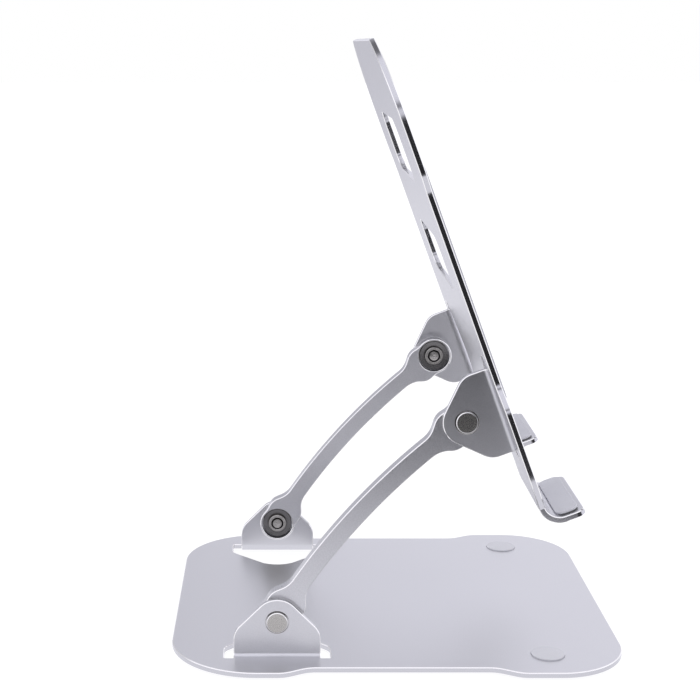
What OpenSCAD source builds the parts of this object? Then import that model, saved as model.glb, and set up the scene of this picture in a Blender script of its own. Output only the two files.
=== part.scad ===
/* [Sheet metal] */
// Thickness of the aluminium sheet of base and platform
sheet_t = 3.2; // [2.5:0.1:4]
// Inside radius of the bends that raise the lugs
bend_r = 2.5; // [1:0.5:3]
// Full width of both plates across their bulges
plate_w = 227; // [220:1:240]
// Full width of both plates across their waists
waist_w = 212.6; // [208:0.2:216]

/* [Base] */
// Length of the base, front to back
base_l = 252.6; // [240:0.2:270]
// Distance from the rear edge of the base to its pivots
base_rear = 59.6; // [55:0.2:65]
// How far the rubber feet stand below the base
foot_h = 1.5; // [1:0.1:3]
// Diameter of a rubber foot
foot_d = 22; // [16:1:26]
// Diameter of the two bumper discs on top of the base
bumper_d = 18.6; // [14:0.2:22]

/* [Platform] */
// Distance from the upper pivots to the rear edge of the platform
platform_rear = 206; // [200:1:215]
// Distance from the upper pivots to the outside of the hooks
hook_reach = 66; // [62:0.5:70]
// Height of the hooks above the underside of the platform
hook_h = 23; // [21:0.5:28]
// Width of one hook
hook_w = 64; // [50:1:66]
// Outside radius of the bend that raises a hook
hook_bend_r = 12; // [10:0.5:14]
// Length of the silicone strips on the top face
strip_l = 130; // [100:1:134]

/* [Lugs and pivots] */
// Distance between the outer faces of a plate's two lugs
lug_span = 181; // [176:1:184]
// Width of a lug along its bend
lug_w = 48; // [44:1:52]
// Height of the pivot axis above the face that the lug rises from
pivot_h = 19.5; // [18:0.5:22]
// Radius of the lug's rounded top about the pivot
lug_top_r = 12.9; // [11:0.1:14]
// Radius of the pivot bolt's shank
shank_r = 3; // [2.5:0.5:3]

/* [Arms] */
// Distance between the two pivots of an arm
arm_l = 152; // [140:0.2:160]
// Width of the arm's bar
bar_w = 10; // [9:0.2:12]
// Thickness of an arm
arm_t = 8; // [7.6:0.2:9]
// Sideways bow of the bar at its middle
arm_bow = 7.6; // [4:0.2:9]
// Radius of the eye at each end of the arm
eye_r = 11.3; // [11:0.1:12]

/* [Pose] */
// Angle of the arms above the horizontal
arm_angle = 48.2; // [30:0.1:80]
// Slope of the platform
platform_tilt = 69.3; // [0:0.1:90]

/* [Hidden] */
$fn = 64;
CORNERS = ["lower_left", "lower_right", "upper_left", "upper_right"];
HARDWARE = ["bolt", "lug_washer", "arm_washer", "spring_inner", "spring_outer", "nut"];
FEET = ["foot_rear_left", "foot_rear_right", "foot_front_left", "foot_front_right"];

aluminium = [0.80, 0.80, 0.83];
silicone = [0.76, 0.76, 0.80];
steel = [0.66, 0.65, 0.64];
dark_steel = [0.34, 0.34, 0.35];
rubber = [0.30, 0.30, 0.32];

// Plate outlines
step_r = 16;                  // rounding where a waist widens into a bulge
step_l = 13;                  // length of that step
base_rear_corner_r = 49;
base_front_corner_r = 40;
platform_rear_corner_r = 49;
platform_corner_cut = 3;      // the rear edge cuts the corner arcs this far before their ends
platform_front = 72;          // the rounded front corners run towards this line
platform_front_corner_r = 40;
arc_steps = 20;

// Places along the base, from its pivots: where the waist starts and ends
base_waist = [4, 132];
// Places along the platform, from its pivots, forward positive
platform_waist = [-136, -4];

// Lug window
window_side = 5.4;            // gap beside the lug
window_depth = 12.2;          // straight part of the window's sides
window_side_r = 7;
window_top_r = 15;
slot_past_bend = 0.5;         // the gaps beside the lug run this far past its bend
slot_r = 1;
lug_side_r = 11;

// Vent windows of the platform, forward positive from the pivots
vent_half_w = 48;
vent_r = 10;
vents = [[-161, -125], [-92.5, -60.5]];

// Hooks
hook_side = 105;              // distance of a hook's outer side from the centre line
hook_tip_r = 5;
relief_w = 1.8;               // cut between a hook and the corner of the sheet
relief_depth = 3;             // from the start of the hook's bend
relief_r = 0.8;
recess = [[39, 7], [21, 18]]; // cut-out between the hooks: distance from the pivots and rounding
recess_half_w = 22;

// Silicone and rubber parts
inlay = 0.6;                  // depth of the recess each one sits in
strip_w = 9.4;
strip_side = 104;             // distance of a strip's outer side from the centre line
strip_front = -8;             // front end of a strip, from the pivots
strip_rise = 0.9;
bumper_rise = 0.8;
bumper_edge = 0.4;            // chamfer
foot_edge = 0.8;              // chamfer
bumper_x = 149.7;             // from the base pivots
bumper_y = 88.5;
front_foot = [96, 84];
rear_foot = [-110, 66];
pad_t = 1.8;
pad_inset = 3;
pad_low = 7.8;                // lower edge of a hook pad above the underside of the platform
pad_top_gap = 2.8;
pad_r = 4.5;

// Pivot hardware, stacked inwards from the outer face of a lug
fit_gap = 0.04;               // radial running clearance about a shank
head_r = 5.9;
head_t = 1.3;                 // stands this far out of the lug
seat_r = 6.4;
seat_depth = 1.2;
washer_t = 0.5;
washer_r = 9;
arm_outer = sheet_t + washer_t;
counterbore_r = 10.1;
counterbore_depth = 5.2;
counterbore_floor = arm_outer + arm_t - counterbore_depth;
arm_washer_t = 0.4;
arm_washer_r = 9.2;
spring_r = 9.3;
spring_t = 0.5;
spring_cone = 0.7;
spring_gap = 0.05;
nut_r = 5.85;
nut_t = 1.7;
spring_stack = spring_t + spring_cone + spring_gap;
nut_start = counterbore_floor + arm_washer_t + 2 * spring_stack + spring_gap;
shank_short = 0.3;            // the shank ends this far inside the arm's inner face
shank_end = arm_outer + arm_t - shank_short;

base_top = foot_h + sheet_t;
lower_pivot = [base_rear - base_l / 2, 0, base_top + pivot_h];
upper_pivot = lower_pivot + arm_l * [cos(arm_angle), 0, sin(arm_angle)];
hook_turn = hook_reach - hook_bend_r;

// ---- Outline helpers ----

function unit(v) = v / norm(v);

// Arc that rounds the corner b of the path a-b-c
function corner_arc(a, b, c, r) =
    r <= 0 ? [b] :
    let (
        u = unit(a - b),
        v = unit(c - b),
        half = acos(u * v) / 2,
        centre = b + unit(u + v) * r / sin(half),
        from = b + u * r / tan(half) - centre,
        to = b + v * r / tan(half) - centre,
        start = atan2(from.y, from.x),
        sweep = atan2(to.y, to.x) - start,
        turn = sweep > 180 ? sweep - 360 : sweep < -180 ? sweep + 360 : sweep
    )
    [for (i = [0:arc_steps]) let (a = start + turn * i / arc_steps) centre + r * [cos(a), sin(a)]];

// Closed path with each corner [x, y, radius] rounded
function rounded(path) =
    let (n = len(path), flat = [for (p = path) [p.x, p.y]])
    [for (i = [0:n - 1]) each corner_arc(flat[(i + n - 1) % n], flat[i], flat[(i + 1) % n], path[i].z)];

// Half outline above the X axis, closed with its mirror image
function both_halves(half) =
    concat(half, [for (i = [len(half) - 1:-1:0]) [half[i].x, -half[i].y, half[i].z]]);

// Corners of the two steps that bound a waist
function waist_steps(ends) = [
    [ends[0], plate_w / 2, step_r],
    [ends[0] + step_l, waist_w / 2, step_r],
    [ends[1] - step_l, waist_w / 2, step_r],
    [ends[1], plate_w / 2, step_r]
];

// Rounded rectangle from two opposite corners
module rounded_box_2d(low, high, r) {
    polygon(rounded([[low.x, low.y, r], [high.x, low.y, r], [high.x, high.y, r], [low.x, high.y, r]]));
}

// ---- Lugs: x along the bend, y inwards from the lug's outer face, z up from the sheet ----

module lug_window_2d() {
    half_w = lug_w / 2 + window_side;
    polygon(rounded([
        [-half_w, -bend_r - slot_past_bend, slot_r],
        [-half_w, window_depth, window_side_r],
        [0, window_depth + half_w, window_top_r],
        [half_w, window_depth, window_side_r],
        [half_w, -bend_r - slot_past_bend, slot_r]
    ]));
}

module lug_face_2d() {
    peak = pivot_h + lug_top_r * sqrt(2);
    shoulder = peak - lug_w / 2;
    polygon(rounded([
        [-lug_w / 2, bend_r, 0],
        [-lug_w / 2, shoulder, lug_side_r],
        [0, peak, lug_top_r],
        [lug_w / 2, shoulder, lug_side_r],
        [lug_w / 2, bend_r, 0]
    ]));
}

module quarter_bend(inner_r, thick, wide) {
    rotate([90, 0, 90])
        linear_extrude(wide, center = true)
            difference() {
                intersection() {
                    circle(inner_r + thick);
                    translate([0, -inner_r - thick]) square(inner_r + thick);
                }
                circle(inner_r);
            }
}

module bent_lug() {
    difference() {
        union() {
            translate([0, sheet_t, 0]) rotate([90, 0, 0]) linear_extrude(sheet_t) lug_face_2d();
            translate([0, -bend_r, bend_r]) quarter_bend(bend_r, sheet_t, lug_w);
            translate([-lug_w / 2, -bend_r - 1, -sheet_t]) cube([lug_w, 1, sheet_t]);
        }
        translate([0, -1, pivot_h]) rotate([-90, 0, 0]) cylinder(h = sheet_t + 2, r = shank_r + fit_gap);
        translate([0, -1, pivot_h]) rotate([-90, 0, 0]) cylinder(h = seat_depth + 1, r = seat_r);
    }
}

module at_both_lugs() {
    for (side = [0, 1]) mirror([0, side, 0]) translate([0, -lug_span / 2, 0]) children();
}

// ---- Base ----

module base_outline_2d() {
    front = base_l - base_rear;
    polygon(rounded(both_halves(concat(
        [[-base_rear, plate_w / 2, base_rear_corner_r]],
        waist_steps(base_waist),
        [[front, plate_w / 2, base_front_corner_r]]
    ))));
}

module base_plate() {
    color(aluminium)
        translate([lower_pivot.x, 0, base_top]) {
            difference() {
                translate([0, 0, -sheet_t]) linear_extrude(sheet_t)
                    difference() {
                        base_outline_2d();
                        at_both_lugs() lug_window_2d();
                    }
                for (side = [-1, 1])
                    translate([bumper_x, side * bumper_y, -inlay]) cylinder(h = inlay + 1, d = bumper_d);
                for (place = [rear_foot, front_foot], side = [-1, 1])
                    translate([place.x - lower_pivot.x, side * place.y, -sheet_t - 1])
                        cylinder(h = inlay + 1, d = foot_d);
            }
            at_both_lugs() bent_lug();
        }
}

module foot(place, side) {
    color(rubber)
        translate([place.x, side * place.y, 0])
            rotate_extrude()
                polygon([
                    [0, 0],
                    [foot_d / 2 - foot_edge, 0],
                    [foot_d / 2, foot_edge],
                    [foot_d / 2, foot_h + inlay],
                    [0, foot_h + inlay]
                ]);
}

module bumper(side) {
    top = inlay + bumper_rise;
    color(silicone)
        translate([lower_pivot.x + bumper_x, side * bumper_y, base_top - inlay])
            rotate_extrude()
                polygon([
                    [0, 0],
                    [bumper_d / 2, 0],
                    [bumper_d / 2, top - bumper_edge],
                    [bumper_d / 2 - bumper_edge, top],
                    [0, top]
                ]);
}

// ---- Platform, modelled level with the upper pivot at the origin and +X to the front ----

module place_platform() {
    translate(upper_pivot) rotate([0, platform_tilt, 0]) children();
}

module platform_outline_2d() {
    rear = -platform_rear - platform_corner_cut;
    difference() {
        polygon(rounded(both_halves(concat(
            [[rear, plate_w / 2, platform_rear_corner_r]],
            waist_steps(platform_waist),
            [[platform_front, plate_w / 2, platform_front_corner_r]]
        ))));
        translate([rear - 1, -plate_w / 2]) square([platform_corner_cut + 1, plate_w]);
        translate([hook_turn, -hook_side]) square([platform_front - hook_turn + 1, 2 * hook_side]);
        recess_2d();
        for (vent = vents)
            rounded_box_2d([vent[0], -vent_half_w], [vent[1], vent_half_w], vent_r);
        at_both_lugs() lug_window_2d();
    }
}

module recess_2d() {
    hook_inner = hook_side - hook_w;
    polygon(rounded(both_halves([
        [hook_turn + 1, hook_inner, 0],
        [recess[0][0], hook_inner, recess[0][1]],
        [recess[1][0], recess_half_w, recess[1][1]]
    ])));
}

module hook_relief_2d() {
    rear = hook_turn - relief_depth;
    for (side = [0, 1])
        mirror([0, side])
            rounded_box_2d([rear, hook_side], [platform_front + 1, hook_side + relief_w], relief_r);
}

// Sheet of one hook: flat tongue, bend and upright face
module hook_sheet() {
    tongue = 5;
    translate([hook_turn - tongue, -hook_w / 2, 0]) cube([tongue, hook_w, sheet_t]);
    translate([hook_turn, 0, hook_bend_r])
        rotate([0, 0, -90]) quarter_bend(hook_bend_r - sheet_t, sheet_t, hook_w);
    translate([hook_reach - sheet_t, 0, 0])
        rotate([90, 0, 90])
            linear_extrude(sheet_t)
                polygon(rounded([
                    [-hook_w / 2, hook_bend_r, 0],
                    [-hook_w / 2, hook_h, hook_tip_r],
                    [hook_w / 2, hook_h, hook_tip_r],
                    [hook_w / 2, hook_bend_r, 0]
                ]));
}

module at_hook(side) {
    translate([0, side * (hook_side - hook_w / 2), pivot_h]) children();
}

module strip_2d(side) {
    low = side > 0 ? strip_side - strip_w : -strip_side;
    rounded_box_2d([strip_front - strip_l, low], [strip_front, low + strip_w], strip_w / 2 - 0.1);
}

module platform_plate() {
    color(aluminium)
        place_platform() {
            difference() {
                translate([0, 0, pivot_h]) linear_extrude(sheet_t)
                    difference() {
                        platform_outline_2d();
                        hook_relief_2d();
                    }
                for (side = [-1, 1])
                    translate([0, 0, pivot_h + sheet_t - inlay]) linear_extrude(inlay + 1) strip_2d(side);
            }
            for (side = [-1, 1]) at_hook(side) hook_sheet();
            translate([0, 0, pivot_h]) mirror([0, 0, 1]) at_both_lugs() bent_lug();
        }
}

module grip_strip(side) {
    color(silicone)
        place_platform()
            translate([0, 0, pivot_h + sheet_t - inlay]) linear_extrude(inlay + strip_rise) strip_2d(side);
}

module hook_pad(side) {
    half_w = hook_w / 2 - pad_inset;
    color(silicone)
        place_platform()
            at_hook(side)
                difference() {
                    translate([hook_reach - sheet_t - pad_t, 0, 0])
                        rotate([90, 0, 90])
                            linear_extrude(pad_t)
                                rounded_box_2d([-half_w, pad_low], [half_w, hook_h - pad_top_gap], pad_r);
                    hook_sheet();
                }
}

// ---- Arms: x from the lower to the upper pivot, z to the side that they bow to ----

function bow_r() = (pow(arm_l / 2, 2) + pow(arm_bow, 2)) / (2 * arm_bow);

// Point on the arc through both pivots, moved out by side
function bow_point(share, side) =
    let (r = bow_r(), spread = asin(arm_l / 2 / r), a = 90 + spread * (1 - 2 * share))
    [arm_l / 2, arm_bow - r] + (r + side) * [cos(a), sin(a)];

// Bowed bar with an eye at each end; two discs beside each eye fill out its shoulders
module arm_outline_2d() {
    bar_steps = 48;
    neck_r = 14;
    shoulder_r = 10.2;
    shoulders = [[8.3, 2.2], [10.2, 1.3]];
    offset(r = -neck_r)
        offset(delta = neck_r) {
            polygon(concat(
                [for (i = [0:bar_steps]) bow_point(i / bar_steps, bar_w / 2)],
                [for (i = [bar_steps:-1:0]) bow_point(i / bar_steps, -bar_w / 2)]
            ));
            for (end = [0, 1])
                translate([end * arm_l, 0]) mirror([end, 0]) {
                    circle(eye_r);
                    for (place = shoulders) translate(place) circle(shoulder_r);
                }
        }
}

module arm(side) {
    outer = lug_span / 2 - arm_outer;
    color(aluminium)
        translate(lower_pivot) rotate([0, -arm_angle, 0])
            mirror([0, side > 0 ? 1 : 0, 0])
                translate([0, -outer, 0])
                    difference() {
                        translate([0, arm_t, 0]) rotate([90, 0, 0]) linear_extrude(arm_t) arm_outline_2d();
                        for (x = [0, arm_l])
                            translate([x, 0, 0]) rotate([-90, 0, 0]) {
                                translate([0, 0, -1]) cylinder(h = arm_t + 2, r = shank_r + fit_gap);
                                translate([0, 0, arm_t - counterbore_depth])
                                    cylinder(h = counterbore_depth + 1, r = counterbore_r);
                            }
                    }
}

// ---- Pivot hardware: turned pieces, z inwards from the lug's outer face ----

module ring(start, thick, outer_r) {
    translate([0, 0, start])
        difference() {
            cylinder(h = thick, r = outer_r);
            translate([0, 0, -1]) cylinder(h = thick + 2, r = shank_r + fit_gap);
        }
}

module bolt() {
    edge = 0.4;
    color(steel)
        rotate_extrude()
            polygon([
                [0, -head_t],
                [head_r - edge, -head_t],
                [head_r, edge - head_t],
                [head_r, seat_depth],
                [shank_r, seat_depth],
                [shank_r, shank_end - edge],
                [shank_r - edge, shank_end],
                [0, shank_end]
            ]);
}

// Coned disc spring, its rim towards the arm when flip is 0
module disc_spring(start, flip) {
    height = spring_t + spring_cone;
    bore = shank_r + fit_gap;
    color(steel)
        translate([0, 0, start + flip * height]) mirror([0, 0, flip])
            rotate_extrude()
                polygon([
                    [bore, spring_cone],
                    [spring_r, 0],
                    [spring_r, spring_t],
                    [bore, height]
                ]);
}

module nut() {
    edge = 0.35;
    bore = shank_r + fit_gap;
    top = nut_start + nut_t;
    color(steel)
        rotate_extrude()
            polygon([
                [bore, nut_start],
                [nut_r, nut_start],
                [nut_r, top - edge],
                [nut_r - edge, top],
                [bore + edge, top],
                [bore, top - edge]
            ]);
}

module hardware(piece) {
    springs = counterbore_floor + arm_washer_t + spring_gap;
    if (piece == "bolt") bolt();
    if (piece == "lug_washer") color(dark_steel) ring(sheet_t, washer_t, washer_r);
    if (piece == "arm_washer") color(dark_steel) ring(counterbore_floor, arm_washer_t, arm_washer_r);
    if (piece == "spring_inner") disc_spring(springs, 0);
    if (piece == "spring_outer") disc_spring(springs + spring_stack, 1);
    if (piece == "nut") nut();
}

// Pivot at one of the four corners, the stack running towards the centre line
module at_corner(index) {
    right = index % 2;
    translate(index < 2 ? lower_pivot : upper_pivot)
        mirror([0, right, 0])
            translate([0, -lug_span / 2, 0])
                rotate([-90, 0, 0]) children();
}

base_plate();
platform_plate();
arm(-1);  // arm_left
arm(1);  // arm_right
foot(rear_foot, -1);  // foot_rear_left
foot(rear_foot, 1);  // foot_rear_right
foot(front_foot, -1);  // foot_front_left
foot(front_foot, 1);  // foot_front_right
bumper(-1);  // bumper_left
bumper(1);  // bumper_right
grip_strip(-1);  // grip_strip_left
grip_strip(1);  // grip_strip_right
hook_pad(-1);  // hook_pad_left
hook_pad(1);  // hook_pad_right
for (i = [0:len(CORNERS) - 1], piece = HARDWARE)
    at_corner(i) hardware(piece);
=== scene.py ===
import math

import bmesh
import bpy
from mathutils import Matrix, Vector
from mathutils.geometry import delaunay_2d_cdt


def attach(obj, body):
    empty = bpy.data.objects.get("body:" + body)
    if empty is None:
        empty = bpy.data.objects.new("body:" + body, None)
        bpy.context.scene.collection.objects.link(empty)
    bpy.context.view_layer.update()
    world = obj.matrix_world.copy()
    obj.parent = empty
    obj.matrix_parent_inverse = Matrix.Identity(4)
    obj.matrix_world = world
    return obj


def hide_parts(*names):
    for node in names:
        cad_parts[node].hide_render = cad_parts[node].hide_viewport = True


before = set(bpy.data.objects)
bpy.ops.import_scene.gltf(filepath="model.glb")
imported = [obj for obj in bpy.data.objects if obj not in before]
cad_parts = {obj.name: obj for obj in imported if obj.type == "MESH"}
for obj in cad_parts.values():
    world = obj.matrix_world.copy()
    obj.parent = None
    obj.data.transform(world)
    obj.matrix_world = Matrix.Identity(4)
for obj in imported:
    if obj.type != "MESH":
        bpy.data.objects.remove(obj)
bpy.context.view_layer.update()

MM = 0.001

# ---- Steps of round shapes, arcs in degrees ----
ARC_STEP, FINE_ARC_STEP = 5.0, 3.0
TURNED_STEPS, BORE_STEPS = 96, 72
LUG_BEND_STEPS, HOOK_BEND_STEPS = 12, 18
SHARP_ANGLE = 30
MITRE_LIMIT = 0.3

# ---- Tolerances, in millimetres but the last in metres ----
SAME_POINT, DOUBLED = 1e-6, 1e-7
ON_LINE, NEXT_POINT, IN_SLOT = 0.01, 0.05, 0.2
ON_PLANE = 2e-6

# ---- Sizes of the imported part, in millimetres ----
# both plates: the lower pivots' line is X = 0 of the base, the upper pivots' that of the platform
SHEET = 3.2
PLATE_HALF, WAIST_HALF = 113.5, 106.3
STEP_R, STEP_L = 16.0, 13.0
# base
BASE_REAR, BASE_LENGTH = 59.6, 252.6
BASE_TOP = 4.7
BASE_REAR_R, BASE_FRONT_R = 49.0, 40.0
BASE_WAIST = (4.0, 132.0)
# lugs, and the windows that they are cut from
PIVOT_H = 19.5
BEND_R = 2.5
LUG_HALF, LUG_OUTER, LUG_TOP_R, LUG_SIDE_R = 24.0, 90.5, 12.9, 11.0
WINDOW_SIDE, WINDOW_DEPTH, WINDOW_SIDE_R, WINDOW_TOP_R = 5.4, 12.2, 7.0, 15.0
SLOT_PAST_BEND, SLOT_R, SLOT_END_R = 0.5, 1.0, 0.45
# platform
PLATFORM_REAR, PLATFORM_REAR_R, PLATFORM_CUT = 206.0, 49.0, 3.0
PLATFORM_FRONT, PLATFORM_FRONT_R = 72.0, 40.0
PLATFORM_WAIST = (-136.0, -4.0)
VENTS = ((-161.0, -125.0), (-92.5, -60.5))
VENT_HALF, VENT_R = 48.0, 10.0
HOOK_REACH, HOOK_H, HOOK_BEND_R, HOOK_TIP_R = 66.0, 23.0, 12.0, 5.0
HOOK_SIDE, HOOK_W = 105.0, 64.0
HOOK_INNER = HOOK_SIDE - HOOK_W
RELIEF_W, RELIEF_DEPTH, RELIEF_R = 1.8, 3.0, 0.8
RECESS = ((39.0, 41.0, 7.0), (21.0, 22.0, 18.0))
# silicone and rubber
INLAY = 0.6
STRIP_W, STRIP_SIDE, STRIP_FRONT, STRIP_L, STRIP_RISE = 9.4, 104.0, -8.0, 130.0, 0.9
STRIP_END_FLAT = 0.1
PAD_T, PAD_INSET, PAD_LOW, PAD_TOP_GAP, PAD_R = 1.8, 3.0, 7.8, 2.8, 4.5
# the glue layer under each hook pad: its dark colour is painted shadow for the gap under the pad
SHADOW_GLUE_T, SHADOW_GLUE_INSET = 0.7, 0.15
BUMPER_X, BUMPER_Y, BUMPER_R, BUMPER_RISE = 149.7, 88.5, 9.3, 0.8
FOOT_R, FOOT_H = 11.0, 1.5
FRONT_FOOT, REAR_FOOT = (96.0, 84.0), (-110.0, 66.0)
# arms
ARM_L, ARM_T, ARM_ANGLE, TILT = 152.0, 8.0, 48.2, 69.3
# pivot hardware, heights running inwards from a lug's outer face
SHANK_R, SHANK_SHORT, HOLE_R = 3.0, 0.3, 3.04
HEAD_R, HEAD_T, SEAT_R, SEAT_DEPTH = 5.9, 1.3, 6.4, 1.2
WASHER_T, WASHER_R = 0.5, 9.0
ARM_OUTER = SHEET + WASHER_T
SHANK_END = ARM_OUTER + ARM_T - SHANK_SHORT
COUNTERBORE_R, COUNTERBORE_DEPTH = 10.1, 5.2
COUNTERBORE_FLOOR = ARM_OUTER + ARM_T - COUNTERBORE_DEPTH
ARM_WASHER_T, ARM_WASHER_R = 0.4, 9.2
SPRING_R, SPRING_T, SPRING_CONE, SPRING_GAP = 9.3, 0.5, 0.7, 0.05
SPRING_STACK = SPRING_T + SPRING_CONE + SPRING_GAP
NUT_R, NUT_T = 5.85, 1.7
NUT_START = COUNTERBORE_FLOOR + ARM_WASHER_T + 2 * SPRING_STACK + SPRING_GAP

# ---- Fine edges that the CAD leaves sharp ----
CHAMFER = 0.45
HOLE_RIM, COUNTERBORE_RIM, POCKET_RIM = 0.2, 0.3, 0.15
POCKET_GAP = 0.05
WASHER_EDGE, SPRING_EDGE, NUT_EDGE = 0.12, 0.15, 0.2
HEAD_BEVEL, HEAD_EASE = 0.45, 0.05
# profiles of (distance in from the rim, depth below the top)
SOFT_EDGE = [(0.0, 0.45), (0.06, 0.24), (0.2, 0.08), (0.45, 0.0)]
BUMPER_EDGE = [(0.0, 0.4), (0.06, 0.2), (0.2, 0.06), (0.4, 0.0)]
NUT_CROWN = [(0.0, 0.55), (0.18, 0.22), (0.5, 0.0)]
SHANK_TIP = [(0.0, 0.4), (0.12, 0.12), (0.4, 0.0)]
# profiles of (radius, depth below the end face)
SHANK_DIMPLE = [(1.35, 0.0), (1.15, 0.12), (0.8, 0.45), (0.0, 0.6)]
# the steep part of the nut's dish and its bore are coloured dark in build_hardware, as painted shade of the
# gap round the shank
NUT_DISH = [(4.25, 0.0), (4.05, 0.12), (3.95, 0.35), (HOLE_R + 0.25, 1.15), (HOLE_R, 1.3)]
# profiles of a foot: (radius, height) of its hollow sole, then (distance in, height) of its edge
FOOT_SOLE = [(0.0, 0.25), (6.0, 0.25), (6.25, 0.2), (6.5, 0.0)]
FOOT_EDGE = [(0.8, 0.0), (0.45, 0.1), (0.18, 0.35), (0.05, 0.7), (0.0, 1.05)]

# ---- Places of the pivots and of each body's own frame ----
LOWER = Vector((BASE_REAR - BASE_LENGTH / 2, 0, BASE_TOP + PIVOT_H))
UPPER = LOWER + ARM_L * Vector(
    (math.cos(math.radians(ARM_ANGLE)), 0, math.sin(math.radians(ARM_ANGLE)))
)
TO_BASE = Matrix.Translation((LOWER.x, 0, BASE_TOP - SHEET))
TO_PLATFORM = Matrix.Translation(UPPER) @ Matrix.Rotation(math.radians(TILT), 4, "Y")
TO_ARM = Matrix.Translation(LOWER) @ Matrix.Rotation(math.radians(-ARM_ANGLE), 4, "Y")


def side_name(side):
    return "left" if side < 0 else "right"


# ---- Outlines ----


def arc_points(centre, radius, start, sweep, per_step=ARC_STEP):
    """Points on an arc, both ends included; angles in degrees."""
    steps = max(3, math.ceil(abs(sweep) / per_step))
    return [
        (
            centre[0] + radius * math.cos(math.radians(start + sweep * i / steps)),
            centre[1] + radius * math.sin(math.radians(start + sweep * i / steps)),
        )
        for i in range(steps + 1)
    ]


def rounded(path, per_step=ARC_STEP):
    """Closed path of (x, y, radius) corners with each corner rounded."""
    out = []
    for i, (x, y, r) in enumerate(path):
        if r <= 0:
            out.append((x, y))
            continue
        b = Vector((x, y))
        u = (Vector(path[i - 1][:2]) - b).normalized()
        v = (Vector(path[(i + 1) % len(path)][:2]) - b).normalized()
        half = u.angle(v) / 2
        centre = b + (u + v).normalized() * r / math.sin(half)
        a = b + u * r / math.tan(half) - centre
        z = b + v * r / math.tan(half) - centre
        start = math.degrees(math.atan2(a.y, a.x))
        sweep = (math.degrees(math.atan2(z.y, z.x)) - start + 180) % 360 - 180
        out += arc_points(centre, r, start, sweep, per_step)
    return out


def mirrored(half):
    """Half outline at positive y, with its mirror image."""
    return half + [(x, -y, r) for x, y, r in reversed(half)]


def circle(x, y, r, steps=TURNED_STEPS):
    return [
        (x + r * math.cos(2 * math.pi * i / steps), y + r * math.sin(2 * math.pi * i / steps))
        for i in range(steps)
    ]


def box_loop(low, high, r):
    return rounded([(low[0], low[1], r), (high[0], low[1], r), (high[0], high[1], r), (low[0], high[1], r)])


def area(loop):
    return sum(a[0] * b[1] - b[0] * a[1] for a, b in zip(loop, loop[1:] + loop[:1])) / 2


def turned(loop, ccw):
    """The loop without doubled points, running counterclockwise or clockwise."""
    clean = [p for p, q in zip(loop, loop[1:] + loop[:1]) if math.dist(p, q) > SAME_POINT]
    return clean if (area(clean) > 0) == ccw else clean[::-1]


def offset(loop, d):
    """The loop moved d to its left, which is into the material."""
    if not d:
        return list(loop)
    out = []
    for i, p in enumerate(loop):
        a, c = loop[i - 1], loop[(i + 1) % len(loop)]
        u = (Vector(p) - Vector(a)).normalized()
        v = (Vector(c) - Vector(p)).normalized()
        nu, nv = Vector((-u.y, u.x)), Vector((-v.y, v.x))
        m = (nu + nv).normalized()
        s = d / max(MITRE_LIMIT, m.dot(nu))
        out.append((p[0] + m.x * s, p[1] + m.y * s))
    return out


def with_stations(loop, axis, values, inside):
    """The loop with a point added wherever it crosses axis = value inside a region."""
    out = []
    for p, q in zip(loop, loop[1:] + loop[:1]):
        out.append(p)
        cuts = []
        for v in values:
            if (p[axis] - v) * (q[axis] - v) < 0:
                s = (v - p[axis]) / (q[axis] - p[axis])
                c = (p[0] + (q[0] - p[0]) * s, p[1] + (q[1] - p[1]) * s)
                if inside(c):
                    cuts.append((s, c))
        out += [c for _, c in sorted(cuts)]
    return out


def within(p, loop):
    """Whether a point is inside a loop, by the times that a line from it crosses the loop."""
    inside = False
    for (x0, y0), (x1, y1) in zip(loop, loop[1:] + loop[:1]):
        if (y0 > p[1]) != (y1 > p[1]) and p[0] < x0 + (p[1] - y0) * (x1 - x0) / (y1 - y0):
            inside = not inside
    return inside


# ---- Sheet parts: a chamfered plate in its flat pattern, then bent ----

FACE, EDGE, CUT = 0, 1, 2


def edge_profile(t):
    """(distance into the material, height) down an edge, and the material of each band."""
    return [(CHAMFER, t), (0, t - CHAMFER), (0, CHAMFER), (CHAMFER, 0)], [CUT, EDGE, CUT]


def hole_profile(t, r_hole, r_seat, depth, seat_rim, top=True):
    """A bolt hole with a wider seat, sunk into the sheet's top or bottom."""
    step = r_seat - r_hole
    rings = [(step + seat_rim, t), (step, t - seat_rim), (step, t - depth), (0, t - depth)]
    rings += [(0, HOLE_RIM), (HOLE_RIM, 0)]
    bands = [CUT, EDGE, EDGE, EDGE, CUT]
    if not top:
        rings = [(d, t - z) for d, z in reversed(rings)]
        bands = bands[::-1]
    return rings, bands


def pocket_profile(t, depth, top):
    """The side of a shallow pocket in the sheet's top or bottom."""
    rings = [(POCKET_RIM, t), (0, t - POCKET_RIM), (0, t - depth)]
    return (rings if top else [(d, t - z) for d, z in rings]), [CUT, EDGE]


def walls(bm, loop, profile, facing_up=True):
    """Bands of faces down a profile; gives the first and last row as (plan points, vertices)."""
    rings, bands = profile
    rows = []
    for d, z in rings:
        points = offset(loop, d)
        rows.append((points, [bm.verts.new((x, y, z)) for x, y in points]))
    for (_, a), (_, b), band in zip(rows, rows[1:], bands):
        for i in range(len(a)):
            k = (i + 1) % len(a)
            quad = (a[i], b[i], b[k], a[k])
            bm.faces.new(quad if facing_up else quad[::-1]).material_index = band
    return rows[0], rows[-1]


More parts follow.
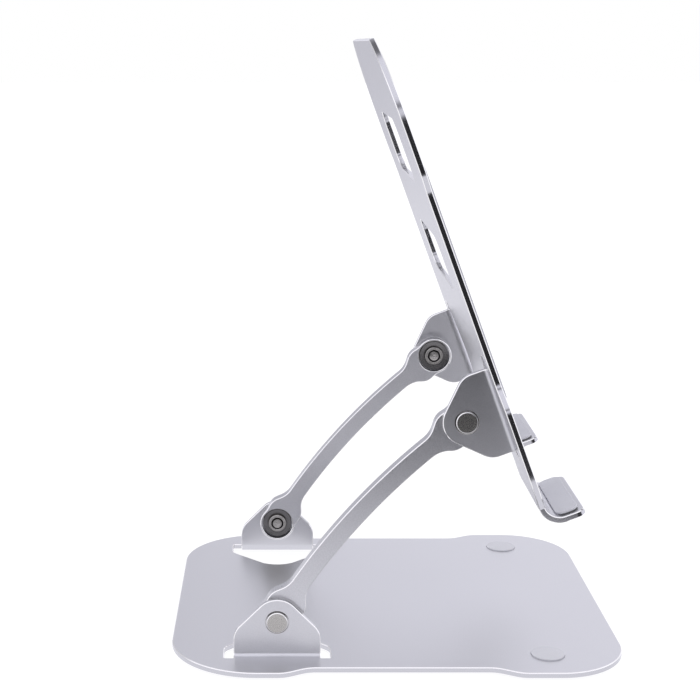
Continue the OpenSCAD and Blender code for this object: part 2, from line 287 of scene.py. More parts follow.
def cap(bm, rows, lines, height, facing_up):
    """Triangulated flat face inside the first row's loop and outside the others, split along lines."""
    points, verts, edges = [], [], []
    for loop, row in rows:
        first = len(points)
        points += [Vector(p) for p in loop]
        verts += row
        edges += [(first + i, first + (i + 1) % len(loop)) for i in range(len(loop))]

    def nearest(p):
        return min(range(len(points)), key=lambda i: (points[i] - Vector(p)).length)

    for line in lines:
        a, b = (nearest(end) for end in line)
        if a != b:
            edges.append((a, b))
    flat, _, triangles, origin, _, _ = delaunay_2d_cdt(points, edges, [], 0, DOUBLED)
    made = [verts[o[0]] if o else bm.verts.new((p.x, p.y, height)) for p, o in zip(flat, origin)]
    outer, *gaps = (loop for loop, _ in rows)
    for triangle in triangles:
        centre = [sum(flat[i][k] for i in triangle) / 3 for k in (0, 1)]
        if not within(centre, outer) or any(within(centre, gap) for gap in gaps):
            continue
        ring = [made[i] for i in triangle]
        if len(set(ring)) == 3:
            bm.faces.new(ring if facing_up else ring[::-1]).material_index = FACE


def build_sheet(t, outer, holes, pockets=(), lines=(), bend=None):
    """bmesh of a sheet. holes are (loop, profile or None for a chamfered edge); pockets are
    (loop, depth, whether in the top); lines split the flat faces where the sheet will bend."""
    bm = bmesh.new()
    top, bottom = [], []
    cuts = [(turned(outer, True), edge_profile(t))]
    cuts += [(turned(loop, False), profile or edge_profile(t)) for loop, profile in holes]
    for loop, profile in cuts:
        first, last = walls(bm, loop, profile)
        top.append(first)
        bottom.append(last)
    for loop, depth, in_top in pockets:
        first, (_, floor) = walls(bm, turned(loop, False), pocket_profile(t, depth, in_top), in_top)
        bm.faces.new(floor[::-1] if in_top else floor).material_index = EDGE
        (top if in_top else bottom).append(first)
    cap(bm, top, lines, t, True)
    cap(bm, bottom, lines, 0.0, False)
    if bend:
        for v in bm.verts:
            v.co = Vector(bend(*v.co))
    return bm


def finish_piece(name, bm, matrix, materials, body, nodes, slot, local=False):
    """Turns a bmesh in millimetres into a piece that replaces CAD nodes; local keeps the matrix on it."""
    bm.transform(Matrix.Scale(MM, 4) @ (Matrix.Identity(4) if local else matrix))
    mesh = bpy.data.meshes.new(name)
    bmesh.ops.recalc_face_normals(bm, faces=bm.faces)
    bm.to_mesh(mesh)
    bm.free()
    for m in materials:
        mesh.materials.append(m)
    mesh.shade_smooth()
    mesh.set_sharp_from_angle(angle=math.radians(SHARP_ANGLE))
    obj = bpy.data.objects.new(name, mesh)
    bpy.context.scene.collection.objects.link(obj)
    if local:
        at, turn, _ = matrix.decompose()
        obj.matrix_world = Matrix.Translation(at * MM) @ turn.to_matrix().to_4x4()
    weigh = obj.modifiers.new("weighted_normals", "WEIGHTED_NORMAL")
    weigh.keep_sharp = True
    weigh.weight = 100
    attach(obj, body)
    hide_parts(*nodes)


# ---- Bends ----
LUG_ARC = math.pi / 2 * (BEND_R + SHEET / 2)
LUG_START = LUG_OUTER + BEND_R
LUG_STATIONS = [LUG_START - LUG_ARC * i / LUG_BEND_STEPS for i in range(LUG_BEND_STEPS + 1)]
HOOK_TURN = HOOK_REACH - HOOK_BEND_R
HOOK_ARC = math.pi / 2 * (HOOK_BEND_R - SHEET / 2)
HOOK_STATIONS = [HOOK_TURN + HOOK_ARC * i / HOOK_BEND_STEPS for i in range(HOOK_BEND_STEPS + 1)]
LUG_PEAK = LUG_TOP_R * math.sqrt(2)
LUG_FLAT_GROWTH = LUG_ARC - 2 * BEND_R


def wrap(s, arc, inner_r, depth):
    """Along and across positions of a point at s past a bend's start and depth below its inner face."""
    angle = min(max(s / arc, 0), 1) * math.pi / 2
    rho = inner_r + depth
    rise = max(0.0, s - arc)
    return min(s, 0) + rho * math.sin(angle), inner_r - rho * math.cos(angle) + rise


def lug_bend(x, y, depth):
    """For a point of a lug's tab: distance from the centre line and height over the inner face."""
    along, rise = wrap(LUG_START - abs(y), LUG_ARC, BEND_R, depth)
    return math.copysign(LUG_START - along, y), rise


def in_tab(x, y):
    """Whether a point of the flat pattern is on a lug's tab, not on the sheet round its window."""
    height = LUG_OUTER - abs(y)
    if height <= -BEND_R or abs(x) > LUG_HALF + IN_SLOT:
        return False
    above = height - PIVOT_H - LUG_FLAT_GROWTH
    if above > abs(x):
        return math.hypot(x, above) < LUG_TOP_R + IN_SLOT * math.sqrt(2)
    return abs(x) + above < LUG_PEAK + 3 * IN_SLOT


def base_bend(x, y, z):
    if in_tab(x, y):
        y, rise = lug_bend(x, y, SHEET - z)
        return x, y, SHEET + rise
    return x, y, z


def platform_bend(x, y, z):
    if in_tab(x, y):
        y, rise = lug_bend(x, y, z)
        return x, y, -rise
    if x > HOOK_TURN:
        along, rise = wrap(x - HOOK_TURN, HOOK_ARC, HOOK_BEND_R - SHEET, SHEET - z)
        return HOOK_TURN + along, y, SHEET + rise
    return x, y, z


def lug_slot(side):
    """Cut round a lug's tab in the flat pattern: the window's outline and back round the tab."""
    half = LUG_HALF + WINDOW_SIDE
    end = -BEND_R - SLOT_PAST_BEND
    peak = PIVOT_H + LUG_PEAK + LUG_FLAT_GROWTH
    shoulder = peak - LUG_HALF
    path = [
        (LUG_HALF, end, SLOT_END_R),
        (half, end, SLOT_R),
        (half, WINDOW_DEPTH, WINDOW_SIDE_R),
        (0, WINDOW_DEPTH + half, WINDOW_TOP_R),
        (-half, WINDOW_DEPTH, WINDOW_SIDE_R),
        (-half, end, SLOT_R),
        (-LUG_HALF, end, SLOT_END_R),
        (-LUG_HALF, shoulder, LUG_SIDE_R),
        (0, peak, LUG_TOP_R),
        (LUG_HALF, shoulder, LUG_SIDE_R),
    ]
    loop = [(x, side * (LUG_OUTER - y)) for x, y in rounded(path)]
    stations = [side * s for s in LUG_STATIONS]
    return with_stations(loop, 1, stations, lambda p: abs(p[0]) < LUG_HALF + ON_LINE)


def lug_hole(side, top):
    """The bolt hole of a lug in the flat pattern, its seat on the lug's outer face."""
    y = side * (LUG_START - LUG_ARC - (PIVOT_H - BEND_R))
    return circle(0, y, HOLE_R, BORE_STEPS), hole_profile(SHEET, HOLE_R, SEAT_R, SEAT_DEPTH, HOLE_RIM, top)


def lug_lines():
    """Lines across the lugs' tabs, at each step of their bends."""
    inner = LUG_HALF - CHAMFER
    return [((-inner, side * s), (inner, side * s)) for side in (-1, 1) for s in LUG_STATIONS]


def waist_steps(ends):
    """Corners of the narrower stretch of a plate's side, between two places along it."""
    a, b = ends
    return [
        (a, PLATE_HALF, STEP_R),
        (a + STEP_L, WAIST_HALF, STEP_R),
        (b - STEP_L, WAIST_HALF, STEP_R),
        (b, PLATE_HALF, STEP_R),
    ]


def build_base(materials):
    outer = rounded(
        mirrored(
            [(-BASE_REAR, PLATE_HALF, BASE_REAR_R)]
            + waist_steps(BASE_WAIST)
            + [(BASE_LENGTH - BASE_REAR, PLATE_HALF, BASE_FRONT_R)]
        ),
        FINE_ARC_STEP,
    )
    holes, pockets = [], []
    for side in (-1, 1):
        holes += [(lug_slot(side), None), lug_hole(side, True)]
        pockets.append((circle(BUMPER_X, side * BUMPER_Y, BUMPER_R + POCKET_GAP), INLAY, True))
        for x, y in (FRONT_FOOT, REAR_FOOT):
            pockets.append((circle(x - LOWER.x, side * y, FOOT_R + POCKET_GAP), INLAY, False))
    bm = build_sheet(SHEET, outer, holes, pockets, lug_lines(), base_bend)
    finish_piece("base_sheet", bm, TO_BASE, materials, "base", ["base_plate"], "sheet_aluminium")


def platform_outer():
    rear = -PLATFORM_REAR - PLATFORM_CUT
    half = rounded(
        [(rear, 0, 0), (rear, PLATE_HALF, PLATFORM_REAR_R)]
        + waist_steps(PLATFORM_WAIST)
        + [(PLATFORM_FRONT, PLATE_HALF, PLATFORM_FRONT_R), (PLATFORM_FRONT, 0, 0)],
        FINE_ARC_STEP,
    )
    # the straight rear edge cuts the corner arc a little way in from its end
    centre = (rear + PLATFORM_REAR_R, PLATE_HALF - PLATFORM_REAR_R)
    cut_y = centre[1] + math.sqrt(PLATFORM_REAR_R**2 - (PLATFORM_REAR + centre[0]) ** 2)
    half = [(-PLATFORM_REAR, cut_y)] + [p for p in half if p[0] > -PLATFORM_REAR + NEXT_POINT]
    # the corner arc stops at the relief cut beside the hook
    corner_x, corner_y = PLATFORM_FRONT - PLATFORM_FRONT_R, PLATE_HALF - PLATFORM_FRONT_R
    slot_y = HOOK_SIDE + RELIEF_W
    slot_x = corner_x + math.sqrt(PLATFORM_FRONT_R**2 - (slot_y - corner_y) ** 2)
    bottom_x = HOOK_TURN - RELIEF_DEPTH
    half = [p for p in half if p[0] < 0 or p[1] > slot_y + IN_SLOT] + [(slot_x, slot_y)]
    tip = HOOK_TURN + HOOK_ARC + HOOK_H - HOOK_BEND_R
    half += rounded(
        [
            (slot_x, slot_y, 0),
            (bottom_x, slot_y, RELIEF_R),
            (bottom_x, HOOK_SIDE, RELIEF_R),
            (tip, HOOK_SIDE, HOOK_TIP_R),
            (tip, HOOK_INNER, HOOK_TIP_R),
            RECESS[0],
            RECESS[1],
            (RECESS[1][0], 0, 0),
        ]
    )[1:-1]
    whole = half + [(x, -y) for x, y in reversed(half)]
    low, high = HOOK_INNER - ON_LINE, HOOK_SIDE + ON_LINE
    return with_stations(whole, 0, HOOK_STATIONS, lambda p: low < abs(p[1]) < high)


def strip_loop(side, grow=0.0):
    """A strip's outline with round ends, or its pocket's when grown."""
    middle, half = side * (STRIP_SIDE - STRIP_W / 2), STRIP_W / 2 + grow
    rear, front = STRIP_FRONT - STRIP_L - grow, STRIP_FRONT + grow
    return box_loop((rear, middle - half), (front, middle + half), half - STRIP_END_FLAT)


def build_platform(materials):
    holes = [(box_loop((a, -VENT_HALF), (b, VENT_HALF), VENT_R), None) for a, b in VENTS]
    pockets = []
    lines = lug_lines()
    for side in (-1, 1):
        holes += [(lug_slot(side), None), lug_hole(side, False)]
        pockets.append((strip_loop(side, POCKET_GAP), INLAY, True))
        for s in HOOK_STATIONS:
            lines.append(((s, side * (HOOK_INNER + CHAMFER)), (s, side * (HOOK_SIDE - CHAMFER))))
    bm = build_sheet(SHEET, platform_outer(), holes, pockets, lines, platform_bend)
    matrix = TO_PLATFORM @ Matrix.Translation((0, 0, PIVOT_H))
    nodes, slot = ["platform_plate"], "sheet_aluminium"
    finish_piece("platform_sheet", bm, matrix, materials, "platform", nodes, slot)


# ---- Arms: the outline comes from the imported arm's outer face ----


def outline_at(node, plane_y, to_local):
    """Outer boundary of a CAD node's flat face at Y = plane_y, as (x, z) points of a local frame."""
    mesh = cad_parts[node].data
    uses = {}
    for face in mesh.polygons:
        corners = [mesh.vertices[i].co for i in face.vertices]
        if all(abs(p.y - plane_y * MM) < ON_PLANE for p in corners):
            ring = [tuple(round(c, 6) for c in p) for p in corners]
            for pair in zip(ring, ring[1:] + ring[:1]):
                uses[frozenset(pair)] = uses.get(frozenset(pair), 0) + 1
    # an edge that only one face uses is on the boundary; each point there has two neighbours
    beside = {}
    for pair, count in uses.items():
        if count == 1 and len(pair) == 2:
            a, b = pair
            beside.setdefault(a, []).append(b)
            beside.setdefault(b, []).append(a)
    loops = []
    while beside:
        start = min(beside)
        loop, last, at = [start], None, start
        while True:
            onward = [q for q in beside[at] if q != last]
            last, at = at, onward[0] if onward else beside[at][0]
            if at == start:
                break
            loop.append(at)
        for q in loop:
            beside.pop(q, None)
        points = [to_local @ (Vector(q) / MM) for q in loop]
        loops.append([(p.x, p.z) for p in points])
    return max(loops, key=lambda loop: abs(area(loop)))


def build_arm(side, materials):
    """Arm built in its own frame: first axis along it, second to its bowed side, height inwards."""
    name = side_name(side)
    outer_y = LUG_OUTER - ARM_OUTER
    outline = outline_at(f"arm_{name}", side * outer_y, TO_ARM.inverted())
    profile = hole_profile(ARM_T, HOLE_R, COUNTERBORE_R, COUNTERBORE_DEPTH, COUNTERBORE_RIM)
    bm = build_sheet(ARM_T, outline, [(circle(x, 0, HOLE_R), profile) for x in (0, ARM_L)])
    # plan (x, y) becomes (x, z) of the arm's frame, and height runs inwards from the outer face
    matrix = TO_ARM @ Matrix(
        ((1, 0, 0, 0), (0, 0, -side, side * outer_y), (0, 1, 0, 0), (0, 0, 0, 1))
    )
    node, body = f"arm_{name}", f"{name}_arm"
    finish_piece(f"arm_bar_{name}", bm, matrix, materials, body, [node], "arm_aluminium")


# ---- Turned pieces: profiles of (radius, height), height running inwards from a lug's outer face ----


def lathe(profile, bands=None, closed=False):
    """bmesh of a profile turned about its axis, closed when it runs round a bore; bands gives the
    material of each step."""
    bm = bmesh.new()
    rows = []
    for r, z in profile:
        if r < SAME_POINT:
            rows.append([bm.verts.new((0, 0, z))])
        else:
            rows.append([bm.verts.new((x, y, z)) for x, y in circle(0, 0, r)])
    for n, (a, b) in enumerate(zip(rows, rows[1:] + rows[:1] if closed else rows[1:])):
        for i in range(TURNED_STEPS):
            k = (i + 1) % TURNED_STEPS
            ring = [a[i % len(a)], b[i % len(b)], b[k % len(b)], a[k % len(a)]]
            ring = list(dict.fromkeys(ring))
            if len(ring) > 2:
                bm.faces.new(ring).material_index = bands[n] if bands else 0
    return bm


def to_corner(side, pivot):
    """Local axis of a turned piece, put at one pivot and pointing inwards."""
    turn = Matrix.Rotation(math.radians(90 * side), 4, "X")
    return Matrix.Translation((pivot.x, side * LUG_OUTER, pivot.z)) @ turn


def disc_spring(start, flip):
    """Coned spring washer with rounded rims."""
    profile = [
        (HOLE_R, SPRING_CONE),
        (SPRING_R - SPRING_EDGE, 0),
        (SPRING_R, SPRING_EDGE),
        (SPRING_R, SPRING_T - SPRING_EDGE),
        (SPRING_R - SPRING_EDGE, SPRING_T),
        (HOLE_R + SPRING_EDGE, SPRING_CONE + SPRING_T),
        (HOLE_R, SPRING_CONE + SPRING_T - SPRING_EDGE),
    ]
    height = SPRING_T + SPRING_CONE
    return [(r, start + (height - z if flip else z)) for r, z in profile]


def washer(start, thick, outer):
    """Flat washer with softened rims."""
    return [
        (HOLE_R, start),
        (outer - WASHER_EDGE, start),
        (outer, start + WASHER_EDGE),
        (outer, start + thick - WASHER_EDGE),
        (outer - WASHER_EDGE, start + thick),
        (HOLE_R + WASHER_EDGE, start + thick),
        (HOLE_R, start + thick - WASHER_EDGE),
    ]


def rim(radius, top, edge):
    """Turned edge from the side of a disc up to its end face."""
    return [(radius - inset, top - depth) for inset, depth in edge]


def dish(top, profile):
    """Turned hollow in an end face."""
    return [(r, top - depth) for r, depth in profile]


def bolt_profile():
    return [
        (0, -HEAD_T),
        (HEAD_R - HEAD_BEVEL, -HEAD_T),
        (HEAD_R - HEAD_EASE, -HEAD_T + HEAD_BEVEL - HEAD_EASE),
        (HEAD_R, -HEAD_T + HEAD_BEVEL + HEAD_EASE),
        (HEAD_R, SEAT_DEPTH),
        (SHANK_R, SEAT_DEPTH),
        *rim(SHANK_R, SHANK_END, SHANK_TIP),
        *dish(SHANK_END, SHANK_DIMPLE),
    ]


def nut_profile():
    top = NUT_START + NUT_T
    foot = [(HOLE_R, NUT_START), (NUT_R - NUT_EDGE, NUT_START), (NUT_R, NUT_START + NUT_EDGE)]
    return foot + rim(NUT_R, top, NUT_CROWN) + dish(top, NUT_DISH)


def build_hardware(side, low):
    """The six turned pieces of one pivot."""
    corner = ("lower_" if low else "upper_") + side_name(side)
    body = "base" if low else "platform"
    matrix = to_corner(side, LOWER if low else UPPER)
    arm_washer = washer(COUNTERBORE_FLOOR, ARM_WASHER_T, ARM_WASHER_R)
    springs = COUNTERBORE_FLOOR + ARM_WASHER_T + SPRING_GAP
    # each piece: profile, materials, material of each band, closed round its bore, slot
    pieces = {
        "bolt": (bolt_profile(), [STEEL, SHEET_CUT], [0, 1, 1] + [0] * 9, False, "steel"),
        "lug_washer": (washer(SHEET, WASHER_T, WASHER_R), [DARK], None, True, "dark_steel"),
        "arm_washer": (arm_washer, [DARK], None, True, "dark_steel"),
        "spring_inner": (disc_spring(springs, False), [SPRING], None, True, "dark_steel"),
        "spring_outer": (disc_spring(springs + SPRING_STACK, True), [SPRING], None, True, "dark_steel"),
        # the last three bands, the steep part of the dish and the bore, take the dark material: painted
        # shade of the gap round the shank
        "nut": (nut_profile(), [STEEL, DARK], [0] * 8 + [1] * 3, True, "steel"),
    }
    for piece, (profile, materials, bands, closed, slot) in pieces.items():
        node = f"{corner}_{piece}"
        bm = lathe(profile, bands, closed)
        finish_piece(f"turned_{node}", bm, matrix, materials, body, [node], slot, local=True)


# ---- Silicone and rubber ----


def stack(rings, shadow_bands=0):
    """bmesh of a solid between loops of equal length, from bottom to top; the first bands may take the
    second material, a dark glue colour that is painted shadow under a pad.
    """
    bm = bmesh.new()
    rows = [[bm.verts.new(p) for p in ring] for ring in rings]
    for row, (a, b) in enumerate(zip(rows, rows[1:])):
        for i in range(len(a)):
            k = (i + 1) % len(a)
            bm.faces.new((a[i], a[k], b[k], b[i])).material_index = int(row < shadow_bands)
    bm.faces.new(rows[0][::-1])
    bm.faces.new(rows[-1])
    return bm


def build_strip(side):
    loop = turned(strip_loop(side), True)
    top = INLAY + STRIP_RISE
    rings = [[(x, y, 0) for x, y in loop]]
    rings += [[(x, y, top - depth) for x, y in offset(loop, inset)] for inset, depth in SOFT_EDGE]
    matrix = TO_PLATFORM @ Matrix.Translation((0, 0, PIVOT_H + SHEET - INLAY))
    name, bm = side_name(side), stack(rings)
    nodes = [f"grip_strip_{name}"]
    finish_piece(f"silicone_strip_{name}", bm, matrix, [SILICONE], "platform", nodes, "silicone")


def build_pad(side):
    """Pad on the inner face of a hook, on a layer of glue coloured dark as painted shadow in the gap under
    the pad; its back follows the start of the bend.
    """
    half = HOOK_W / 2 - PAD_INSET
    loop = turned(box_loop((-half, PAD_LOW), (half, HOOK_H - PAD_TOP_GAP), PAD_R), True)
    centre_y = side * (HOOK_SIDE - HOOK_W / 2)
    back = HOOK_REACH - SHEET
    front = back - PAD_T
    inner_r = HOOK_BEND_R - SHEET

    def clear_of_bend(x, z):
        below = HOOK_BEND_R - z
        return min(x, HOOK_TURN + math.sqrt(inner_r**2 - below**2)) if below > 0 else x

    # the glue layer is inset under the pad; it and the pad's ledge just above it take the dark glue colour,
    # painted shadow
    levels = [(SHADOW_GLUE_INSET, back), (SHADOW_GLUE_INSET, back - SHADOW_GLUE_T), (0.0, back - SHADOW_GLUE_T)]
    levels += [(inset, front + depth) for inset, depth in SOFT_EDGE]
    rings = [
        [(clear_of_bend(x, z), centre_y + y, z) for y, z in offset(loop, inset)] for inset, x in levels
    ]
    matrix = TO_PLATFORM @ Matrix.Translation((0, 0, PIVOT_H))
    name, bm = side_name(side), stack(rings, shadow_bands=2)
    nodes = [f"hook_pad_{name}"]
    finish_piece(f"silicone_pad_{name}", bm, matrix, [SILICONE, SHADOW_GLUE], "platform", nodes, "silicone")


def build_bumper(side):
    top = INLAY + BUMPER_RISE
    bm = lathe([(0, 0), (BUMPER_R, 0)] + rim(BUMPER_R, top, BUMPER_EDGE) + [(0, top)])
    matrix = Matrix.Translation((LOWER.x + BUMPER_X, side * BUMPER_Y, BASE_TOP - INLAY))
    name = side_name(side)
    nodes = [f"bumper_{name}"]
    finish_piece(f"silicone_disc_{name}", bm, matrix, [SILICONE], "base", nodes, "silicone", local=True)


def build_foot(end, place, side):
    top = FOOT_H + INLAY
    edge = [(FOOT_R - inset, height) for inset, height in FOOT_EDGE]
    bm = lathe(FOOT_SOLE + edge + [(FOOT_R, top), (0, top)])
    matrix = Matrix.Translation((place[0], side * place[1], 0))
    name = f"foot_{end}_{side_name(side)}"
    finish_piece(f"rubber_{name}", bm, matrix, [RUBBER], "base", [name], "rubber", local=True)


# ---- Materials ----
# nearly all of a noise lies in NOISE_SPAN, and of the sum of two in SUM_SPAN
NOISE_SPAN, SUM_SPAN = (0.3, 0.7), (0.7, 1.3)
BLAST_SCALE, MOULD_SCALE, WEAR_SCALE, SPECK_SCALE, RING_SCALE = 1500, 1800, 60, 2200, 5200
SOFT_NOISE = 0.6
# per kind: change of roughness, change of colour, bump strength, bump distance in metres
BLAST, BLAST_BUMP = (0.04, 0.03, 0.3), 0.00005
LATHE, LATHE_BUMP = (0.06, 0.06, 0.12), 0.00004
MOULD, MOULD_BUMP = (0.06, 0.03, 0.25), 0.00004


def material(name, color, metallic, rough):
    m = bpy.data.materials.new(name)
    m.use_nodes = True
    bsdf = m.node_tree.nodes["Principled BSDF"]
    bsdf.inputs["Base Color"].default_value = (*color, 1)
    bsdf.inputs["Metallic"].default_value = metallic
    bsdf.inputs["Roughness"].default_value = rough
    return m, m.node_tree, bsdf


def object_coords(tree):
    return tree.nodes.new("ShaderNodeTexCoord").outputs["Object"]


def noise(tree, vector, scale, detail, rough):
    n = tree.nodes.new("ShaderNodeTexNoise")
    n.inputs["Scale"].default_value = scale
    n.inputs["Detail"].default_value = detail
    n.inputs["Roughness"].default_value = rough
    tree.links.new(vector, n.inputs["Vector"])
    return n.outputs["Fac"]


def map_range(tree, value, span, low=0.0, high=1.0, kind="LINEAR"):
    n = tree.nodes.new("ShaderNodeMapRange")
    n.interpolation_type = kind
    for key, v in zip(("From Min", "From Max", "To Min", "To Max"), (*span, low, high)):
        n.inputs[key].default_value = v
    tree.links.new(value, n.inputs["Value"])
    return n.outputs["Result"]


def rough_by(tree, bsdf, value, span, rough, swing):
    result = map_range(tree, value, span, rough - swing, rough + swing)
    tree.links.new(result, bsdf.inputs["Roughness"])


def tint_by(tree, bsdf, value, span, color, spread):
    mix = tree.nodes.new("ShaderNodeMix")
    mix.data_type = "RGBA"
    mix.inputs["A"].default_value = (*[c * (1 - spread) for c in color], 1)
    mix.inputs["B"].default_value = (*[min(1, c * (1 + spread)) for c in color], 1)
    tree.links.new(map_range(tree, value, span), mix.inputs["Factor"])
    tree.links.new(mix.outputs["Result"], bsdf.inputs["Base Color"])


def bump_by(tree, bsdf, height, strength, distance):
    n = tree.nodes.new("ShaderNodeBump")
    n.inputs["Strength"].default_value = strength
    n.inputs["Distance"].default_value = distance
    tree.links.new(height, n.inputs["Height"])
    tree.links.new(n.outputs["Normal"], bsdf.inputs["Normal"])


def blasted(name, color, rough, grain):
    """Bead-blasted metal: fine speckle in height and colour."""
    m, tree, bsdf = material(name, color, 1.0, rough)
    swing, spread, strength = (grain * v for v in BLAST)
    fine = noise(tree, object_coords(tree), BLAST_SCALE, 1.5, SOFT_NOISE)
    rough_by(tree, bsdf, fine, NOISE_SPAN, rough, swing)
    tint_by(tree, bsdf, fine, NOISE_SPAN, color, spread)
    bump_by(tree, bsdf, fine, strength, BLAST_BUMP)
    return m


def lathed(name, color, rough, grain):
    """Turned metal: rings about the local axis."""
    m, tree, bsdf = material(name, color, 1.0, rough)
    swing, (spread, strength) = LATHE[0], (grain * v for v in LATHE[1:])
    at = object_coords(tree)
    split = tree.nodes.new("ShaderNodeSeparateXYZ")
    join = tree.nodes.new("ShaderNodeCombineXYZ")
    size = tree.nodes.new("ShaderNodeVectorMath")
    size.operation = "LENGTH"
    tree.links.new(at, split.inputs["Vector"])
    tree.links.new(split.outputs["X"], join.inputs["X"])
    tree.links.new(split.outputs["Y"], join.inputs["Y"])
    tree.links.new(join.outputs["Vector"], size.inputs[0])
    rings = tree.nodes.new("ShaderNodeTexNoise")
    rings.noise_dimensions = "1D"
    rings.inputs["Scale"].default_value = RING_SCALE
    rings.inputs["Detail"].default_value = 2
    tree.links.new(size.outputs["Value"], rings.inputs["W"])
    both = tree.nodes.new("ShaderNodeMath")
    both.operation = "ADD"
    tree.links.new(rings.outputs["Fac"], both.inputs[0])
    tree.links.new(noise(tree, at, SPECK_SCALE, 2.0, SOFT_NOISE), both.inputs[1])
    rough_by(tree, bsdf, both.outputs[0], SUM_SPAN, rough, swing)
    tint_by(tree, bsdf, both.outputs[0], SUM_SPAN, color, spread)
    bump_by(tree, bsdf, both.outputs[0], strength, LATHE_BUMP)
    return m


def moulded(name, color, rough, grain):
    """Silicone or rubber with a fine matt texture."""
    m, tree, bsdf = material(name, color, 0.0, rough)
    swing, (spread, strength) = MOULD[0], (grain * v for v in MOULD[1:])
    at = object_coords(tree)
    fine = noise(tree, at, MOULD_SCALE, 3.0, SOFT_NOISE)
    rough_by(tree, bsdf, noise(tree, at, WEAR_SCALE, 2.0, 0.5), NOISE_SPAN, rough, swing)
    tint_by(tree, bsdf, fine, NOISE_SPAN, color, spread)
    bump_by(tree, bsdf, fine, strength, MOULD_BUMP)
    return m


SHEET_FACE = blasted("blasted_sheet", (0.715, 0.715, 0.73), 0.36, 1.0)
SHEET_EDGE = blasted("machined_edge", (0.655, 0.655, 0.67), 0.16, 0.1)
SHEET_CUT = blasted("polished_chamfer", (0.99, 0.985, 0.945), 0.12, 0.1)
ARM_FACE = blasted("blasted_arm", (0.70, 0.70, 0.715), 0.36, 2.0)
ARM_EDGE = blasted("arm_side", (0.66, 0.66, 0.675), 0.30, 1.0)
STEEL = lathed("turned_steel", (0.49, 0.475, 0.445), 0.29, 0.7)
# partly the springs' own dark finish, partly painted shade: darkened all over for the shade inside the
# counterbores they sit in
SPRING = lathed("dark_spring_painted_shade", (0.21, 0.205, 0.20), 0.30, 0.8)
# dark steel for the washers; on the nuts it colours the steep part of the dish and the bore, as painted
# shade of the gap round the shank
DARK = lathed("dark_steel_and_painted_shade", (0.085, 0.085, 0.09), 0.36, 0.6)
SILICONE = moulded("silicone", (0.56, 0.56, 0.62), 0.5, 1.0)
# dark glue colour: painted shadow of the gap under the pads, also on the underside of each pad's rim
SHADOW_GLUE = moulded("adhesive_painted_shadow", (0.09, 0.09, 0.095), 0.6, 0.5)
RUBBER = moulded("rubber", (0.06, 0.06, 0.065), 0.6, 1.0)

sheet_set = [SHEET_FACE, SHEET_EDGE, SHEET_CUT]
build_base(sheet_set)
build_platform(sheet_set)
for one_side in (-1, 1):
    build_arm(one_side, [ARM_FACE, ARM_EDGE, SHEET_CUT])
    build_strip(one_side)
    build_pad(one_side)
    build_bumper(one_side)
    build_foot("front", FRONT_FOOT, one_side)
    build_foot("rear", REAR_FOOT, one_side)
    for at_base in (True, False):
        build_hardware(one_side, at_base)

# ---- Camera ----
CAM_AT = Vector((-0.066, -0.8501, 0.3354))
PITCH = 11.78
LENS, SENSOR, SHIFT_X = 75.6103, 36, 0.10229

cam_data = bpy.data.cameras.new("camera")
cam = bpy.data.objects.new("camera", cam_data)
bpy.context.scene.collection.objects.link(cam)
cam.location = CAM_AT
cam.rotation_euler = (math.radians(90 - PITCH), 0, 0)
cam_data.lens, cam_data.sensor_width, cam_data.shift_x = LENS, SENSOR, SHIFT_X
cam_data.clip_start, cam_data.clip_end = 0.05, 50
bpy.context.scene.camera = cam

# ---- Studio ----
FLOOR_HALF, FLOOR_GLOW = 12, 0.86
CARD_HALF, CARD_Z = 1.5, -0.002
CARD_COLOR = (0.93, 0.925, 1, 1)
# front edge of the table card: a short stretch lies further forward, and the right end further back
CARD_FRONT = [(0.085, -0.40), (0.095, -0.43), (0.113, -0.43), (0.123, -0.36)]
# light that shiny faces see: a span is a change along one axis of the direction, a level is a strength
DARK_ROOM, SOFTBOX, SIDE_WALLS = 0.05, 1.02, 1.05
STRIP_BOTTOM, STRIP_TOP, SOFTBOX_EDGE = (0.14, 0.20), (0.31, 0.37), (0.38, 0.48)
CEILING_EDGE, FRONT_EDGE, BACK_EDGE = (0.6, 0.8), (-0.5, -0.25), (0.15, 0.5)
BELOW_STRIP, STRIP_LIGHT = 0.03, 1.0
WALL_SPAN, WALL_LEFT, WALL_RIGHT = (-0.26, 0.14), 0.61, 0.97
CEILING_SPAN, CEILING_FRONT, CEILING_BACK = (0.0, 0.25), 1.02, 0.2
SHINE_COLOR = (0.975, 0.97, 1.075, 1)
# light that matt faces get
DULL_TOP, DULL_DEPTH = (0.1, 0.6), (-0.6, 0.1)
DULL_FRONT, DULL_BACK, DULL_ABOVE = 0.35, 1.15, 1.25
WHITE = (1, 1, 1, 1)


def glowing(name, color, rough, glow_color, glow):
    """Matt material that gives light; also its shader node."""
    mat, _, bsdf = material(name, color, 0.0, rough)
    bsdf.inputs["Emission Color"].default_value = glow_color
    bsdf.inputs["Emission Strength"].default_value = glow
    return mat, bsdf


def plane(name, outline, z, mat):
    """Flat face of the studio, in metres."""
    mesh = bpy.data.meshes.new(name)
    mesh.from_pydata([(x, y, z) for x, y in outline], [], [range(len(outline))])
    mesh.materials.append(mat)
    obj = bpy.data.objects.new(name, mesh)
    bpy.context.scene.collection.objects.link(obj)
    return obj


floor_mat, _ = glowing("floor", (0.2, 0.2, 0.202), 0.9, WHITE, FLOOR_GLOW)
corners = [(-FLOOR_HALF, -FLOOR_HALF), (FLOOR_HALF, -FLOOR_HALF)]
floor = plane("floor", corners + [(-x, -y) for x, y in corners], 0, floor_mat)
floor.visible_glossy = False

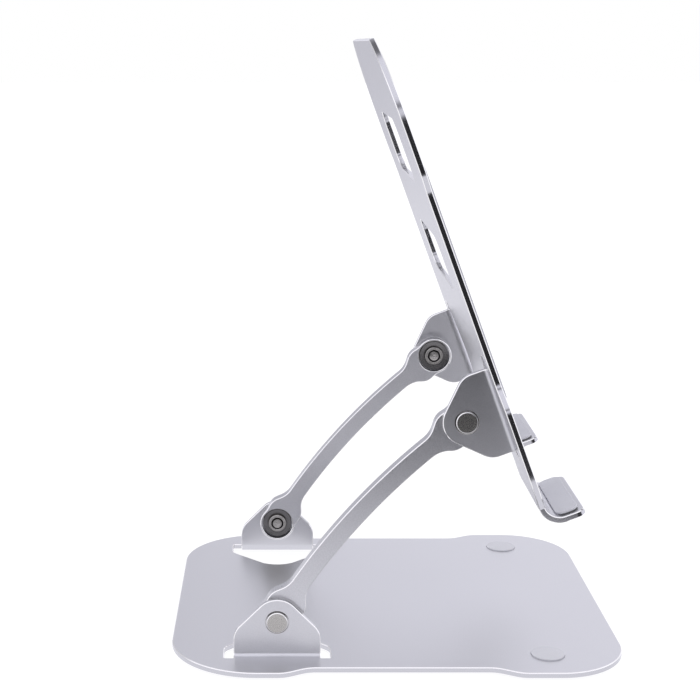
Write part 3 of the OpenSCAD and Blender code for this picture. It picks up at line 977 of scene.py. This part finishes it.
# what shiny faces see of the table: it ends a little way in front of the stand
card_mat, card_bsdf = glowing("table_card", (0, 0, 0), 1.0, CARD_COLOR, 1.0)
card_bsdf.inputs["Specular IOR Level"].default_value = 0
card_edge = [(-CARD_HALF, CARD_FRONT[0][1]), *CARD_FRONT, (CARD_HALF, CARD_FRONT[-1][1])]
card = plane("table_card", card_edge + [(CARD_HALF, CARD_HALF), (-CARD_HALF, CARD_HALF)], CARD_Z, card_mat)
card.visible_camera = False
card.visible_diffuse = False
card.visible_shadow = False
card.visible_transmission = False

world = bpy.data.worlds.new("studio")
bpy.context.scene.world = world
world.use_nodes = True
sky = world.node_tree
sky.nodes.clear()


def ramp(value, span, low=0.0, high=1.0):
    return map_range(sky, value, span, low, high, "SMOOTHSTEP")


def blend(fac, a, b):
    """a where fac is 0, b where it is 1."""
    n = sky.nodes.new("ShaderNodeMix")
    for key, v in (("Factor", fac), ("A", a), ("B", b)):
        if isinstance(v, (int, float)):
            n.inputs[key].default_value = v
        else:
            sky.links.new(v, n.inputs[key])
    return n.outputs["Result"]


def background(color, strength):
    n = sky.nodes.new("ShaderNodeBackground")
    n.inputs["Color"].default_value = color
    sky.links.new(strength, n.inputs["Strength"])
    return n.outputs["Background"]


coords = sky.nodes.new("ShaderNodeTexCoord")
axes = sky.nodes.new("ShaderNodeSeparateXYZ")
sky.links.new(coords.outputs["Generated"], axes.inputs["Vector"])
x, y, z = (axes.outputs[k] for k in "XYZ")

# in front a dark room between a low strip of light and a softbox, bright walls at the sides, behind a wall
# that is brighter to the right, and a ceiling that is bright in front only
low_strip = blend(ramp(z, STRIP_TOP), ramp(z, STRIP_BOTTOM, BELOW_STRIP, STRIP_LIGHT), DARK_ROOM)
front = blend(ramp(z, SOFTBOX_EDGE), low_strip, SOFTBOX)
around = blend(ramp(y, FRONT_EDGE), front, SIDE_WALLS)
around = blend(ramp(y, BACK_EDGE), around, ramp(x, WALL_SPAN, WALL_LEFT, WALL_RIGHT))
ceiling = ramp(y, CEILING_SPAN, CEILING_FRONT, CEILING_BACK)
glossy = blend(ramp(z, CEILING_EDGE), around, ceiling)
# less light from the front than from above, behind and the sides
dull = blend(ramp(z, DULL_TOP), ramp(y, DULL_DEPTH, DULL_FRONT, DULL_BACK), DULL_ABOVE)

rays = sky.nodes.new("ShaderNodeLightPath")
shared = sky.nodes.new("ShaderNodeMixShader")
out = sky.nodes.new("ShaderNodeOutputWorld")
sky.links.new(rays.outputs["Is Glossy Ray"], shared.inputs["Fac"])
sky.links.new(background(WHITE, blend(rays.outputs["Is Camera Ray"], dull, 1.0)), shared.inputs[1])
sky.links.new(background(SHINE_COLOR, glossy), shared.inputs[2])
sky.links.new(shared.outputs["Shader"], out.inputs["Surface"])

bpy.context.scene.view_settings.view_transform = "Standard"
